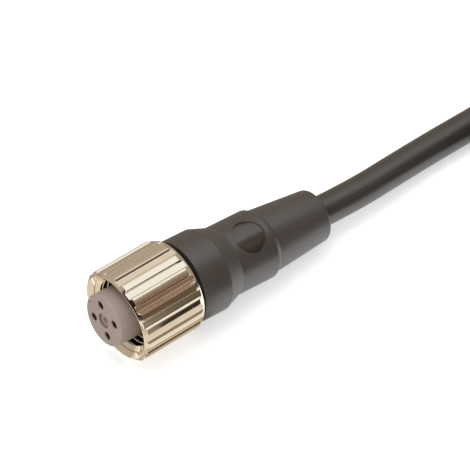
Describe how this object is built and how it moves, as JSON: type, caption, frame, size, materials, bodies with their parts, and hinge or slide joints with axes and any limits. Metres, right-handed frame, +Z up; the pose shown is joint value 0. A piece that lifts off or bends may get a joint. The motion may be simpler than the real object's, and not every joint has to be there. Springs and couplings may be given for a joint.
{
  "type": "m12 connector",
  "caption": "Straight round M12 socket connector with a knurled coupling nut, moulded grip and a cable with an open end.",
  "frame": {"origin": "on the surface that it lies on, below the middle of the connector's box without its cable", "axes": "+X along the coupling nut's axis from the mating face towards the cable, +Z up"},
  "size_m": [0.1581, 0.0488, 0.0177],
  "materials": {
    "nickel": "bright nickel plate on brass",
    "carrier_grey": "matt moulded",
    "seal_black": "smooth",
    "grip_black": "fine matt moulded",
    "gold_brass": "gold flash",
    "cable_black": "satin",
    "tie_black": "smooth",
    "core_brown": "satin",
    "core_white": "satin",
    "core_blue": "satin",
    "core_black": "satin",
    "tinned_wire": "tinned strands"
  },
  "bodies": {
    "plug": {"contact_carrier": "carrier_grey", "face_seal": "seal_black", "grip_body": "grip_black", "contact_1": "gold_brass", "contact_2": "gold_brass", "contact_3": "gold_brass", "contact_4": "gold_brass", "head_core_brown": "core_brown", "head_core_white": "core_white", "head_core_blue": "core_blue", "head_core_black": "core_black", "cable_lead": "cable_black", "cable_hank": "cable_black", "hank_tie": "tie_black", "end_core_brown": "core_brown", "end_core_white": "core_white", "end_core_blue": "core_blue", "end_core_black": "core_black", "end_tip_brown": "tinned_wire", "end_tip_white": "tinned_wire", "end_tip_blue": "tinned_wire", "end_tip_black": "tinned_wire"},
    "nut": {"coupling_nut": "nickel"}
  },
  "joints": [
    {"name": "nut_spin", "type": "hinge", "parent": "plug", "child": "nut", "pos_m": [-0.011, 0, 0.0074], "axis": [1, 0, 0], "continuous": true}
  ]
}
